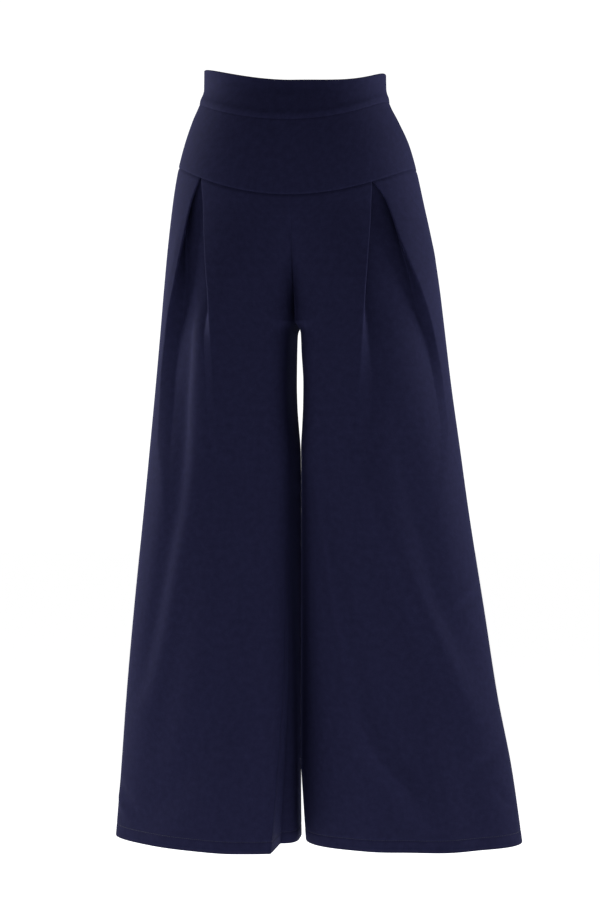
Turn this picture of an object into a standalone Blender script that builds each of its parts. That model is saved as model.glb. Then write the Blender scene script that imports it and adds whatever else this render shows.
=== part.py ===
"""Wide-leg trousers: waistband, hip yokes and four leg panels, each a wall of cloth.

Metres, +Z up. The front faces -Y, and left and right are as seen from the front. The origin is
the middle of the waist, where the wearer holds the garment up. Heights in the tables are above
the hem, and their x values are distances from the middle plane.
"""
import math

import bmesh
import bpy
import numpy as np

# Driving sizes
WAIST_HEIGHT = 1.000
CLOTH = 0.0010
BAND_CLOTH = 0.0020
HEM_TURN_UP = 0.016
SEAM_GAP = 0.0003
SEAM_STEP_GAP = 0.0004
CROTCH_HEIGHT = 0.702
INSEAM_Y = 0.010
SIDE_SEAM_Y = 0.0

# The colour of the cloth, linear
NAVY = (0.0125, 0.0130, 0.0380, 1.0)
CLOTH_ROUGHNESS = 0.85

# Heights of the seams and edges at the sides and at the middle of the front and the back, and
# the power of the curve by which each side rises from the middle
EDGE_COLUMNS = ("left", "right", "front", "back", "left_power", "right_power")
EDGES = {
    "waist_top": (1.0505, 1.0425, 1.0220, 1.0430, 1.8, 4.0),
    "band_seam": (1.0030, 1.0030, 0.9680, 0.9980, 2.0, 2.0),
    "yoke_seam": (0.9180, 0.9115, 0.8680, 0.8900, 2.0, 2.0),
}

# Sections of each half of the garment: the side's and the crown's distance from the middle,
# the depth in front and behind, and how square the front is at its side and at its middle
SECTION_COLUMNS = ("height", "outer", "crown", "front", "back", "side_bow", "middle_bow")
SECTIONS = {
    "left": (
        (0.000, 0.2555, 0.075, 0.128, 0.122, 1.60, 4.5),
        (0.100, 0.2472, 0.078, 0.126, 0.121, 1.70, 4.5),
        (0.200, 0.2396, 0.080, 0.124, 0.120, 1.80, 4.5),
        (0.310, 0.2294, 0.082, 0.122, 0.118, 1.90, 5.0),
        (0.450, 0.2148, 0.084, 0.119, 0.116, 2.00, 6.0),
        (0.530, 0.2067, 0.085, 0.118, 0.116, 2.05, 7.0),
        (0.620, 0.1978, 0.084, 0.118, 0.118, 2.10, 7.0),
        (0.702, 0.1902, 0.080, 0.118, 0.121, 2.15, 6.0),
        (0.750, 0.1861, 0.066, 0.118, 0.126, 2.20, 4.5),
        (0.800, 0.1819, 0.040, 0.117, 0.130, 2.20, 3.0),
        (0.868, 0.1745, 0.000, 0.1155, 0.128, 2.20, 2.0),
        (0.914, 0.1670, 0.000, 0.113, 0.122, 2.20, 2.0),
        (0.947, 0.1588, 0.000, 0.110, 0.116, 2.15, 2.0),
        (0.980, 0.1478, 0.000, 0.105, 0.109, 2.10, 2.0),
        (1.001, 0.1387, 0.000, 0.100, 0.104, 2.10, 2.0),
        (1.012, 0.1350, 0.000, 0.0970, 0.100, 2.10, 2.0),
        (1.024, 0.1318, 0.000, 0.0955, 0.097, 2.10, 2.0),
        (1.060, 0.1314, 0.000, 0.0950, 0.096, 2.10, 2.0),
    ),
    "right": (
        (0.000, 0.3030, 0.160, 0.096, 0.120, 2.00, 2.5),
        (0.100, 0.2885, 0.142, 0.098, 0.119, 1.95, 2.8),
        (0.200, 0.2690, 0.122, 0.101, 0.118, 1.90, 3.2),
        (0.310, 0.2520, 0.104, 0.105, 0.117, 1.95, 4.0),
        (0.450, 0.2300, 0.090, 0.110, 0.116, 2.00, 5.5),
        (0.530, 0.2190, 0.085, 0.113, 0.116, 2.05, 7.0),
        (0.620, 0.2065, 0.082, 0.116, 0.118, 2.10, 7.0),
        (0.702, 0.1968, 0.078, 0.118, 0.121, 2.15, 6.0),
        (0.750, 0.1910, 0.064, 0.118, 0.126, 2.20, 4.5),
        (0.800, 0.1834, 0.038, 0.117, 0.130, 2.20, 3.0),
        (0.868, 0.1690, 0.000, 0.1155, 0.128, 2.20, 2.0),
        (0.914, 0.1588, 0.000, 0.113, 0.122, 2.20, 2.0),
        (0.947, 0.1492, 0.000, 0.110, 0.116, 2.15, 2.0),
        (0.980, 0.1341, 0.000, 0.105, 0.109, 2.10, 2.0),
        (1.001, 0.1235, 0.000, 0.100, 0.104, 2.10, 2.0),
        (1.012, 0.1205, 0.000, 0.0970, 0.100, 2.10, 2.0),
        (1.024, 0.1182, 0.000, 0.0955, 0.097, 2.10, 2.0),
        (1.060, 0.1177, 0.000, 0.0950, 0.096, 2.10, 2.0),
    ),
}
BACK_SIDE_BOW = 2.1
BACK_MIDDLE_BOW = 2.0

# How square the centre seams curve under to the crotch, and the least part of the depth by
# which they dip
CENTRE_CURVE = {"front": 2.3, "back": 2.6}
CENTRE_SHALLOWEST = 0.9999

# The inner wall of each leg, as signed x, and how far its front stands off from the middle
INNER_COLUMNS = ("height", "left", "right", "left_slant", "right_slant")
INNER_WALLS = (
    (0.000, 0.0005, 0.0080, 0.000, 0.000),
    (0.060, -0.0001, 0.0040, 0.000, 0.002),
    (0.110, -0.0003, 0.0008, 0.000, 0.006),
    (0.200, -0.0002, 0.0005, 0.000, 0.010),
    (0.310, -0.0002, 0.0005, -0.001, 0.012),
    (0.500, -0.0002, 0.0005, -0.003, 0.013),
    (0.530, -0.0007, 0.0011, -0.003, 0.011),
    (0.565, -0.0034, 0.0040, -0.003, 0.009),
    (0.590, -0.0052, 0.0058, -0.003, 0.008),
    (0.620, -0.0060, 0.0062, -0.003, 0.008),
    (0.660, -0.0056, 0.0046, -0.002, 0.007),
    (0.690, -0.0046, 0.0036, -0.001, 0.006),
    (0.702, -0.00015, 0.00015, 0.000, 0.000),
)
SEAM_BLEND = 0.060

# Inverted box pleats: the x of their two fold edges, how far each edge turns under in degrees,
# the length of the cloth turned under at each, the radii of the fold and its foot, and how far
# the pleat has spread flat, from 0 to 1
PLEAT_COLUMNS = ("height", "outer_edge", "inner_edge", "outer_turn", "inner_turn", "outer_under",
                 "inner_under", "fold_radius", "foot_radius", "spread")
PLEATS = {
    "left": (
        (0.400, 0.1700, 0.1020, 5, 5, 0.010, 0.010, 0.020, 0.020, 1.0),
        (0.480, 0.1750, 0.1040, 10, 5, 0.016, 0.010, 0.016, 0.016, 0.5),
        (0.550, 0.1820, 0.1060, 20, 6, 0.020, 0.010, 0.010, 0.012, 0.0),
        (0.610, 0.1820, 0.1080, 30, 9, 0.021, 0.010, 0.007, 0.009, 0.0),
        (0.675, 0.1760, 0.1100, 44, 16, 0.019, 0.010, 0.005, 0.007, 0.0),
        (0.736, 0.1650, 0.1110, 82, 80, 0.013, 0.009, 0.003, 0.004, 0.0),
        (0.800, 0.1530, 0.1160, 132, 130, 0.012, 0.011, 0.0018, 0.0018, 0.0),
        (0.857, 0.1405, 0.1203, 162, 162, 0.017, 0.017, 0.0015, 0.0008, 0.0),
        (0.8965, 0.1258, 0.1248, 180, 180, 0.022, 0.022, 0.0015, 0.0005, 0.0),
    ),
    "right": (
        (0.400, 0.1900, 0.0900, 5, 5, 0.010, 0.010, 0.020, 0.020, 1.0),
        (0.480, 0.1950, 0.0920, 6, 5, 0.012, 0.012, 0.018, 0.018, 0.5),
        (0.550, 0.2000, 0.0940, 10, 8, 0.013, 0.016, 0.012, 0.014, 0.0),
        (0.610, 0.1960, 0.0950, 24, 16, 0.012, 0.018, 0.008, 0.010, 0.0),
        (0.675, 0.1860, 0.0955, 56, 46, 0.009, 0.011, 0.004, 0.006, 0.0),
        (0.736, 0.1695, 0.0975, 100, 102, 0.009, 0.009, 0.0025, 0.003, 0.0),
        (0.800, 0.1455, 0.1012, 132, 134, 0.011, 0.011, 0.0018, 0.0015, 0.0),
        (0.857, 0.1248, 0.1047, 155, 158, 0.016, 0.016, 0.0015, 0.0008, 0.0),
        (0.8860, 0.1070, 0.1060, 180, 180, 0.022, 0.022, 0.0015, 0.0005, 0.0),
    ),
}

# The deep fold down the inner front corner of the left leg: the x of its edge, and how far the
# cloth behind the edge stands back
CORNER_COLUMNS = ("height", "edge", "depth")
CORNER_FOLD = (
    (0.000, 0.026, 0.078),
    (0.118, 0.018, 0.062),
    (0.197, 0.013, 0.046),
    (0.278, 0.010, 0.028),
    (0.360, 0.009, 0.010),
    (0.430, 0.009, 0.000),
)
CORNER_RUN = 0.006
CORNER_TOP = 0.600
CORNER_TOP_X = 0.040

# Soft flare folds, each from its upper to its lower end: x and height of both ends, the half
# width at both ends, and the depth at the lower end, inward where it is negative
FLARE_COLUMNS = ("leg", "face", "top", "top_x", "low", "low_x", "top_width", "low_width", "depth")
FLARES = (
    ("left", "front", 0.58, 0.085, 0.03, 0.215, 0.022, 0.030, -0.0060),
    ("left", "front", 0.60, 0.130, 0.12, 0.205, 0.020, 0.026, 0.0040),
    ("left", "front", 0.36, 0.050, 0.00, 0.085, 0.022, 0.034, 0.0040),
    ("right", "front", 0.52, 0.030, 0.00, 0.115, 0.016, 0.030, 0.0050),
    ("right", "front", 0.56, 0.085, 0.04, 0.240, 0.024, 0.032, -0.0060),
    ("right", "front", 0.46, 0.180, 0.00, 0.205, 0.022, 0.034, 0.0040),
    ("left", "back", 0.62, 0.060, 0.00, 0.055, 0.018, 0.024, 0.0070),
    ("left", "back", 0.64, 0.095, 0.00, 0.110, 0.018, 0.022, -0.0070),
    ("left", "back", 0.60, 0.135, 0.00, 0.170, 0.018, 0.024, 0.0070),
    ("right", "back", 0.60, 0.055, 0.00, 0.070, 0.018, 0.026, 0.0070),
    ("right", "back", 0.62, 0.100, 0.00, 0.140, 0.018, 0.024, -0.0080),
    ("right", "back", 0.58, 0.145, 0.00, 0.215, 0.020, 0.026, 0.0080),
)
FLARE_FADE = 0.15

# Heights of the rows of each leg panel at its middle edge, from its seam to the hem
ROWS = {
    "front": (0.860, 0.846, 0.828, 0.806, 0.782, 0.757, 0.735, 0.718, 0.708, CROTCH_HEIGHT,
              0.685, 0.655, 0.620, 0.580, 0.530, 0.470, 0.400, 0.330, 0.255, 0.180, 0.110,
              0.055),
    "back": (0.865, 0.835, 0.805, 0.775, 0.747, 0.725, 0.710, CROTCH_HEIGHT, 0.680, 0.630,
             0.570, 0.500, 0.400, 0.300, 0.200, 0.110, 0.055),
}

# Numbers of columns
SIDE_COLUMNS = 5
FRONT_COLUMNS = 7
CORNER_RISE_COLUMNS = 4
WALL_COLUMNS = 5
BACK_COLUMNS = 14
HALF_YOKE_COLUMNS = 12
FOLD_STEPS = 3
FOOT_STEPS = 2
YOKE_ROWS = 6
BAND_ROWS = 4
QUARTER_POINTS = 80
DENSE_POINTS = 241


def column(table, names, name):
    """One column of a table, as an array."""
    return np.array([row[names.index(name)] for row in table], dtype=float)


def smooth(positions, values, at):
    """A smooth curve through the table's values that never overshoots them."""
    at = np.asarray(at, dtype=float)
    step = np.diff(positions)
    slope = np.diff(values) / step
    tangent = np.zeros_like(values)
    product = slope[:-1] * slope[1:]
    total = np.where(product > 0, slope[:-1] + slope[1:], 1.0)
    tangent[1:-1] = np.where(product > 0, 2 * product / total, 0.0)
    tangent[0], tangent[-1] = slope[0], slope[-1]
    index = np.clip(np.searchsorted(positions, at) - 1, 0, len(step) - 1)
    part = np.clip((at - positions[index]) / step[index], 0.0, 1.0)
    rise = part * part * (3 - 2 * part)
    start = part * (1 - part) ** 2
    end = -part * part * (1 - part)
    bend = step[index] * (start * tangent[index] + end * tangent[index + 1])
    return values[index] * (1 - rise) + values[index + 1] * rise + bend


def read(table, names, name, height):
    """A table's column at any height."""
    return smooth(column(table, names, "height"), column(table, names, name), height)


def ease(value):
    """Zero below 0, one above 1, and smooth between."""
    value = np.clip(value, 0.0, 1.0)
    return value * value * (3 - 2 * value)


def bow(angle, power):
    """Cosine and sine of the angle, bent to a squarer or flatter oval."""
    return np.abs(np.cos(angle)) ** (2 / power), np.abs(np.sin(angle)) ** (2 / power)


def section(side, face, height, fraction):
    """Points of the cloth's outer surface and their outward normals.

    The fraction runs along the cloth at one height, from the side seam at 0 to the centre seam
    or the inseam at 1.
    """
    height = np.asarray(height, dtype=float)
    sign = -1.0 if side == "left" else 1.0
    ahead = -1.0 if face == "front" else 1.0
    table = SECTIONS[side]
    half_gap = SEAM_GAP / 2

    outer = sign * read(table, SECTION_COLUMNS, "outer", height)
    crown = sign * np.maximum(read(table, SECTION_COLUMNS, "crown", height), half_gap)
    depth = ahead * read(table, SECTION_COLUMNS, face, height)
    below = np.minimum(height, CROTCH_HEIGHT)
    inner = read(INNER_WALLS, INNER_COLUMNS, side, below)
    slant = read(INNER_WALLS, INNER_COLUMNS, side + "_slant", below) * (face == "front")
    seam_y = SIDE_SEAM_Y + ahead * half_gap
    inseam_y = INSEAM_Y + ahead * half_gap
    if face == "front":
        side_bow = read(table, SECTION_COLUMNS, "side_bow", height)
        middle_bow = read(table, SECTION_COLUMNS, "middle_bow", height)
    else:
        side_bow = np.full_like(height, BACK_SIDE_BOW)
        middle_bow = np.full_like(height, BACK_MIDDLE_BOW)

    seam_top = EDGES["yoke_seam"][EDGE_COLUMNS.index(face)]
    fall = np.clip((seam_top - height) / (seam_top - CROTCH_HEIGHT), 0.0, 1.0)
    power = CENTRE_CURVE[face]
    left_over = np.minimum((1 - fall ** power) ** (1 / power), CENTRE_SHALLOWEST)

    angle = np.linspace(0.0, math.pi / 2, QUARTER_POINTS)[None, :]
    across, along = bow(angle, side_bow[:, None])
    side_x = crown[:, None] + (outer - crown)[:, None] * across
    side_y = seam_y + (depth - seam_y)[:, None] * along
    last = np.arcsin(left_over ** (middle_bow / 2))[:, None]
    angle = last + (math.pi / 2 - last) * np.linspace(1.0, 0.0, QUARTER_POINTS)
    across, along = bow(angle, middle_bow[:, None])
    across = across / across[:, -1:]
    middle_x = crown[:, None] + ((inner - crown)[:, None] + slant[:, None] * along) * across
    middle_y = inseam_y + (depth - inseam_y)[:, None] * along
    x = np.concatenate([side_x, middle_x[:, 1:]], axis=1)
    y = np.concatenate([side_y, middle_y[:, 1:]], axis=1)

    run_x, run_y = np.diff(x, axis=1), np.diff(y, axis=1)
    run = np.hypot(run_x, run_y) + 1e-12
    reach = np.concatenate([np.zeros((len(height), 1)), np.cumsum(run, axis=1)], axis=1)
    goal = np.clip(fraction, 0.0, 1.0) * reach[:, -1]
    index = np.clip((reach <= goal[:, None]).sum(axis=1) - 1, 0, run.shape[1] - 1)
    row = np.arange(len(height))
    part = (goal - reach[row, index]) / run[row, index]
    points = np.stack([x[row, index] + run_x[row, index] * part,
                       y[row, index] + run_y[row, index] * part], axis=1)
    tangent = np.stack([run_x[row, index], run_y[row, index]], axis=1)
    tangent /= np.hypot(tangent[:, 0], tangent[:, 1])[:, None] + 1e-12
    turn = turn_of(side, face)
    normals = np.stack([turn * tangent[:, 1], -turn * tangent[:, 0]], axis=1)
    return points, normals, reach[:, -1]


def turn_of(side, face):
    """The side of the path that is outside the garment: 1 on its right, -1 on its left."""
    return 1.0 if (side == "left") == (face == "front") else -1.0


def edge_height(edge, side, face, fraction):
    """The height of a seam or edge at a fraction of the way from the side to the middle."""
    heights = dict(zip(EDGE_COLUMNS, EDGES[edge]))
    fraction = np.asarray(fraction, dtype=float)
    level = np.full_like(fraction, heights[side])
    points, _, _ = section(side, face, level, fraction)
    edge_x = abs(section(side, face, level[:1], np.zeros(1))[0][0, 0])
    ratio = np.abs(points[:, 0]) / edge_x
    power = heights[side + "_power"]
    return heights[face] + (heights[side] - heights[face]) * ratio ** power


def flare_depth(side, face, height, x):
    """How far the flare folds push the cloth out at the given heights and x."""
    total = np.zeros_like(height)
    for row in FLARES:
        fold = dict(zip(FLARE_COLUMNS, row))
        if fold["leg"] != side or fold["face"] != face:
            continue
        down = (fold["top"] - height) / (fold["top"] - fold["low"])
        centre = fold["top_x"] + (fold["low_x"] - fold["top_x"]) * down
        width = fold["top_width"] + (fold["low_width"] - fold["top_width"]) * np.clip(down, 0, 1)
        depth = fold["depth"] * ease(down / (1 - FLARE_FADE))
        total += depth * np.exp(-((np.abs(x) - centre) / width) ** 2)
    return total


def pleat_side(edge, turn, length, fold_radius, foot_radius):
    """One side of a pleat seen along the leg, from the flap to the foot of the turned cloth.

    The flap comes from the negative side at depth 0 and folds under at the edge.
    """
    points = []
    for bend in np.linspace(0.0, turn, FOLD_STEPS + 1):
        points.append((edge - fold_radius + fold_radius * math.sin(bend),
                       -fold_radius + fold_radius * math.cos(bend)))
    start = points[-1]
    heading = (math.cos(turn), -math.sin(turn))
    points.append((start[0] + heading[0] * length / 2, start[1] + heading[1] * length / 2))
    foot = (start[0] + heading[0] * length, start[1] + heading[1] * length)
    middle = (foot[0] + foot_radius * math.sin(turn), foot[1] + foot_radius * math.cos(turn))
    for bend in np.linspace(turn, 0.0, FOOT_STEPS + 1):
        points.append((middle[0] - foot_radius * math.sin(bend),
                       middle[1] - foot_radius * math.cos(bend)))
    return points


def pleat_path(side, height, outer_at, inner_at):
    """Distances along the cloth and depths of one pleat, across both of its folds."""
    value = {name: float(read(PLEATS[side], PLEAT_COLUMNS, name, height))
             for name in PLEAT_COLUMNS[1:]}
    radii = (value["fold_radius"], value["foot_radius"])
    first = pleat_side(outer_at, math.radians(value["outer_turn"]), value["outer_under"], *radii)
    second = pleat_side(-inner_at, math.radians(value["inner_turn"]), value["inner_under"], *radii)
    second = [(-distance, depth) for distance, depth in reversed(second)]
    foot, other = first[-1], second[0]
    length = min(max(value["outer_under"], value["inner_under"]), (other[0] - foot[0]) / 3)
    under = []
    for distance in (length / 2, length):
        under.append((foot[0] + distance, foot[1]))
    under.append(((foot[0] + other[0]) / 2, (foot[1] + other[1]) / 2))
    for distance in (length, length / 2):
        under.append((other[0] - distance, other[1]))
    path = np.array(first + under + second)
    even = np.zeros_like(path)
    even[:, 0] = np.linspace(path[0, 0], path[-1, 0], len(path))
    return path * (1 - value["spread"]) + even * value["spread"]


def dense_row(side, height):
    """Distances along a front leg panel at one height, and the x at each, taken as positive."""
    dense = np.linspace(0.0, 1.0, DENSE_POINTS)
    points, _, lengths = section(side, "front", np.full_like(dense, height), dense)
    return dense * lengths[0], np.abs(points[:, 0])


def where(row, goal):
    """The distance along a dense row at which the cloth reaches an x."""
    distance, x = row
    end = int(np.argmin(x)) + 1
    return float(np.interp(-float(goal), -x[:end], distance[:end]))


def front_row(side, middle_height):
    """One row of a front leg panel, from side to middle.

    Gives the distances of its points along the cloth, their heights, the row's length, the
    distance of the end of the pleat, and how far each point lies out and back.
    """
    seam = dict(zip(EDGE_COLUMNS, EDGES["yoke_seam"]))
    pleat_top = PLEATS[side][-1][0]
    height = middle_height * pleat_top / seam["front"]
    outer_row, middle_row = dense_row(side, height), dense_row(side, middle_height)
    length = middle_row[0][-1]
    outer_at = where(outer_row, read(PLEATS[side], PLEAT_COLUMNS, "outer_edge", height))
    inner_at = where(outer_row, read(PLEATS[side], PLEAT_COLUMNS, "inner_edge", height))
    path = pleat_path(side, height, outer_at, inner_at)
    hinge = path[-1, 0]

    corner_x = read(CORNER_FOLD, CORNER_COLUMNS, "edge", height)
    low = float(ease((CORNER_TOP - height) / (CORNER_TOP - CORNER_FOLD[-1][0])))
    corner = where(middle_row, CORNER_TOP_X) * (1 - low) + where(middle_row, corner_x) * low
    even_run = (length - corner) * CORNER_RISE_COLUMNS / (CORNER_RISE_COLUMNS + WALL_COLUMNS)
    run = even_run * (1 - low) + CORNER_RUN * low
    distance = [np.linspace(0.0, path[0, 0], SIDE_COLUMNS + 1)[:-1], path[:, 0],
                np.linspace(path[-1, 0], corner, FRONT_COLUMNS + 1)[1:],
                np.linspace(corner, corner + run, CORNER_RISE_COLUMNS + 1)[1:],
                np.linspace(corner + run, length, WALL_COLUMNS + 1)[1:]]
    distance = np.concatenate(distance)
    depth = np.zeros_like(distance)
    depth[SIDE_COLUMNS:SIDE_COLUMNS + len(path)] = path[:, 1]
    back = np.zeros_like(distance)
    if side == "left":
        reach = float(read(CORNER_FOLD, CORNER_COLUMNS, "depth", height))
        rise = ease((distance - corner) / CORNER_RUN)
        back = reach * rise * np.clip((length - distance) / (length - corner), 0.0, 1.0)
    inward = ease((distance - hinge) / (corner - hinge))
    ratio = np.interp(distance, *outer_row) / outer_row[1][0] * (1 - inward)
    ratio += np.interp(distance, *middle_row) / middle_row[1][0] * inward
    rise = (seam[side] / seam["front"] - 1) * ratio ** seam[side + "_power"]
    return distance, middle_height * (1 + rise), length, hinge, depth, back


def own_fractions(side, height, distance, length, hinge):
    """Fractions of a front row's points, each at its own height.

    Up to the hinge the points keep their distances from the side seam, and beyond it they
    spread over what is left of the row.
    """
    own = section(side, "front", height, np.zeros_like(distance))[2]
    beyond = (distance - hinge) / (length - hinge)
    return np.where(distance > hinge, hinge + beyond * (own - hinge), distance) / own


def back_row():
    """Fractions of one row of a back leg panel, from side to middle."""
    return np.linspace(0.0, 1.0, BACK_COLUMNS + 1)


def leg_rows(side, face):
    """Outer points of a leg panel, row by row from its seam to the hem, with its end normals."""
    seam = dict(zip(EDGE_COLUMNS, EDGES["yoke_seam"]))
    top = seam[face] - SEAM_STEP_GAP
    levels = [top, *ROWS[face], HEM_TURN_UP + CLOTH, HEM_TURN_UP, 0.0]
    rows, ends = [], []
    for level in levels:
        if face == "front":
            distance, height, length, hinge, depth, back = front_row(side, level)
            share = 1 - ease((levels[0] - level) / SEAM_BLEND)
            fraction = own_fractions(side, height, distance, length, hinge)
            at_seam = level * edge_height("yoke_seam", side, face, fraction) / seam[face]
            mixed = height + (at_seam - height) * share
            fraction = own_fractions(side, mixed, distance, length, hinge)
            at_seam = level * edge_height("yoke_seam", side, face, fraction) / seam[face]
            height = height + (at_seam - height) * share
        else:
            fraction = back_row()
            depth, back = np.zeros_like(fraction), np.zeros_like(fraction)
            height = level * edge_height("yoke_seam", side, face, fraction) / seam[face]
        points, normals, _ = section(side, face, height, fraction)
        window = ease(6 * fraction) * ease(6 * (1 - fraction))
        depth = depth + window * flare_depth(side, face, height, points[:, 0])
        ends.append((normals[0], normals[-1]))
        points = points + normals * depth[:, None]
        points[:, 1] += back
        rows.append(np.column_stack([points, height - WAIST_HEIGHT]))
    thickness = [2 * CLOTH if level <= HEM_TURN_UP else CLOTH for level in levels]
    return rows, ends, thickness


def ring_rows(low, high, face, gap, count):
    """Outer points of a panel that runs from side to side, between two of the edges."""
    fraction = np.linspace(0.0, 1.0, HALF_YOKE_COLUMNS + 1)
    rows, ends = [], []
    for step in np.linspace(0.0, 1.0, count + 1):
        halves = []
        for side in ("left", "right"):
            bottom = edge_height(low, side, face, fraction)
            upper = edge_height(high, side, face, fraction) - gap
            height = bottom + (upper - bottom) * step
            points, normals, _ = section(side, face, height, fraction)
            halves.append((np.column_stack([points, height - WAIST_HEIGHT]), normals))
        middle = halves[0][0][-1:] * (0, 1, 1)
        rows.append(np.concatenate([halves[0][0][:-1], middle, halves[1][0][-2::-1]]))
        ends.append((halves[0][1][0], halves[1][1][0]))
    return rows, ends


def inward(row, end_normals, thickness, turn):
    """The same row on the inner side of the cloth."""
    flat = row[:, :2]
    run = np.diff(flat, axis=0)
    run /= np.hypot(run[:, 0], run[:, 1])[:, None]
    normal = np.stack([turn * run[:, 1], -turn * run[:, 0]], axis=1)
    joint = normal[:-1] + normal[1:]
    joint /= (joint * joint).sum(axis=1)[:, None] / 2
    offset = np.concatenate([end_normals[0][None], joint, end_normals[1][None]])
    moved = row.copy()
    moved[:, :2] -= offset * thickness
    return moved


def wall(name, rows, ends, thickness, turn, collection, material):
    """A closed wall of cloth between its rows of outer points and the same rows inside."""
    inner = [inward(row, end, depth, turn) for row, end, depth in zip(rows, ends, thickness)]
    count, width = len(rows), len(rows[0])
    mesh = bpy.data.meshes.new(name)
    shape = bmesh.new()
    outer_verts = [[shape.verts.new(point) for point in row] for row in rows]
    inner_verts = [[shape.verts.new(point) for point in row] for row in inner]
    for grid, flip in ((outer_verts, False), (inner_verts, True)):
        for i in range(count - 1):
            for j in range(width - 1):
                a, b = grid[i][j], grid[i][j + 1]
                c, d = grid[i + 1][j + 1], grid[i + 1][j]
                for corners in ((a, b, c), (a, c, d)):
                    shape.faces.new(corners[::-1] if flip else corners)
    border = [(0, j) for j in range(width - 1)]
    border += [(i, width - 1) for i in range(count - 1)]
    border += [(count - 1, j) for j in range(width - 1, 0, -1)]
    border += [(i, 0) for i in range(count - 1, 0, -1)]
    for (i, j), (k, m) in zip(border, border[1:] + border[:1]):
        near, far = outer_verts[i][j], outer_verts[k][m]
        shape.faces.new((far, near, inner_verts[i][j], inner_verts[k][m]))
    bmesh.ops.recalc_face_normals(shape, faces=shape.faces)
    shape.to_mesh(mesh)
    shape.free()
    mesh.shade_smooth()
    mesh.set_sharp_from_angle(angle=math.radians(50))
    mesh.materials.append(material)
    item = bpy.data.objects.new(name, mesh)
    collection.objects.link(item)
    return item


def make_cloth(name):
    """The matt navy cloth of one piece."""
    material = bpy.data.materials.new(name + "_cloth")
    material.use_nodes = True
    shader = material.node_tree.nodes["Principled BSDF"]
    shader.inputs["Base Color"].default_value = NAVY
    shader.inputs["Roughness"].default_value = CLOTH_ROUGHNESS
    shader.inputs["Metallic"].default_value = 0.0
    return material


def make_band(collection, face):
    """One half of the waistband, two layers of cloth thick."""
    rows, ends = ring_rows("band_seam", "waist_top", face, 0.0, BAND_ROWS)
    name = "waistband_" + face
    thickness = [BAND_CLOTH] * len(rows)
    return wall(name, rows, ends, thickness, turn_of("left", face), collection, make_cloth(name))


def make_yoke(collection, face):
    """One hip yoke, between the waistband and the legs."""
    rows, ends = ring_rows("yoke_seam", "band_seam", face, SEAM_GAP, YOKE_ROWS)
    name = "yoke_" + face
    thickness = [CLOTH] * len(rows)
    return wall(name, rows, ends, thickness, turn_of("left", face), collection, make_cloth(name))


def make_leg(collection, side, face):
    """One leg panel, from the yoke to the turned-up hem."""
    rows, ends, thickness = leg_rows(side, face)
    name = f"leg_{face}_{side}"
    return wall(name, rows, ends, thickness, turn_of(side, face), collection, make_cloth(name))


def main():
    for item in list(bpy.data.objects):
        bpy.data.objects.remove(item, do_unlink=True)
    collection = bpy.data.collections.new("wide_leg_trousers")
    bpy.context.scene.collection.children.link(collection)
    for face in ("front", "back"):
        make_band(collection, face)
        make_yoke(collection, face)
        for side in ("left", "right"):
            make_leg(collection, side, face)


main()
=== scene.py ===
"""Wide-leg trousers in matt navy crepe: waistband, hip yokes, pleated legs and stitched hems.

Metres, +Z up. The front faces -Y, and left and right are as seen from the front. Heights in the
tables are above the hem, and their x values are distances from the middle plane.
"""

import math

import bmesh
import bpy
import numpy as np
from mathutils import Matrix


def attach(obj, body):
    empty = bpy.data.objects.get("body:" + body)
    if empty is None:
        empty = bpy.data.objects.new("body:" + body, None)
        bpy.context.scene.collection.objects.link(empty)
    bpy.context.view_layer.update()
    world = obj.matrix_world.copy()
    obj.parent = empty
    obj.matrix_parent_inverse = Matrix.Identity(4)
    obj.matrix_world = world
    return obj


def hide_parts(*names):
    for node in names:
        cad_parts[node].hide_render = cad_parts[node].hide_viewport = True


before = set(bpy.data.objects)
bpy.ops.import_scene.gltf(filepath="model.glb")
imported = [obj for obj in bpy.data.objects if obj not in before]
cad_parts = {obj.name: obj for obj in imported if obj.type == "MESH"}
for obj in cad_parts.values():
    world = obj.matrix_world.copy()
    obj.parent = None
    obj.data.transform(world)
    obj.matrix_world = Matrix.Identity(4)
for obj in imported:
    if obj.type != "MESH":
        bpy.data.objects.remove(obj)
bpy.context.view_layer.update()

# Driving sizes. HEM_STEP is the height over which the doubled hem thins out to one layer.
WAIST_HEIGHT = 1.000
CLOTH = 0.0010
BAND_CLOTH = 0.0020
HEM_TURN_UP = 0.016
HEM_STEP = 0.0010
CROTCH_HEIGHT = 0.702
INSEAM_Y = 0.010
SIDE_SEAM_Y = 0.0
FORWARD = {"front": (0.0, -1.0), "back": (0.0, 1.0)}

# How far neighbouring pieces reach over each other at a seam, against light showing through
SEAM_OVERLAP = 0.0003

# Heights of the seams and edges at the sides and at the middle of the front and the back, and
# the power of the curve by which each side rises from the middle
EDGE_COLUMNS = ("left", "right", "front", "back", "left_power", "right_power")
EDGES = {
    "waist_top": (1.0505, 1.0425, 1.0220, 1.0430, 1.8, 4.0),
    "band_seam": (1.0030, 1.0030, 0.9680, 0.9980, 2.0, 2.0),
    "yoke_seam": (0.9180, 0.9115, 0.8680, 0.8900, 2.0, 2.0),
}

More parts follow.
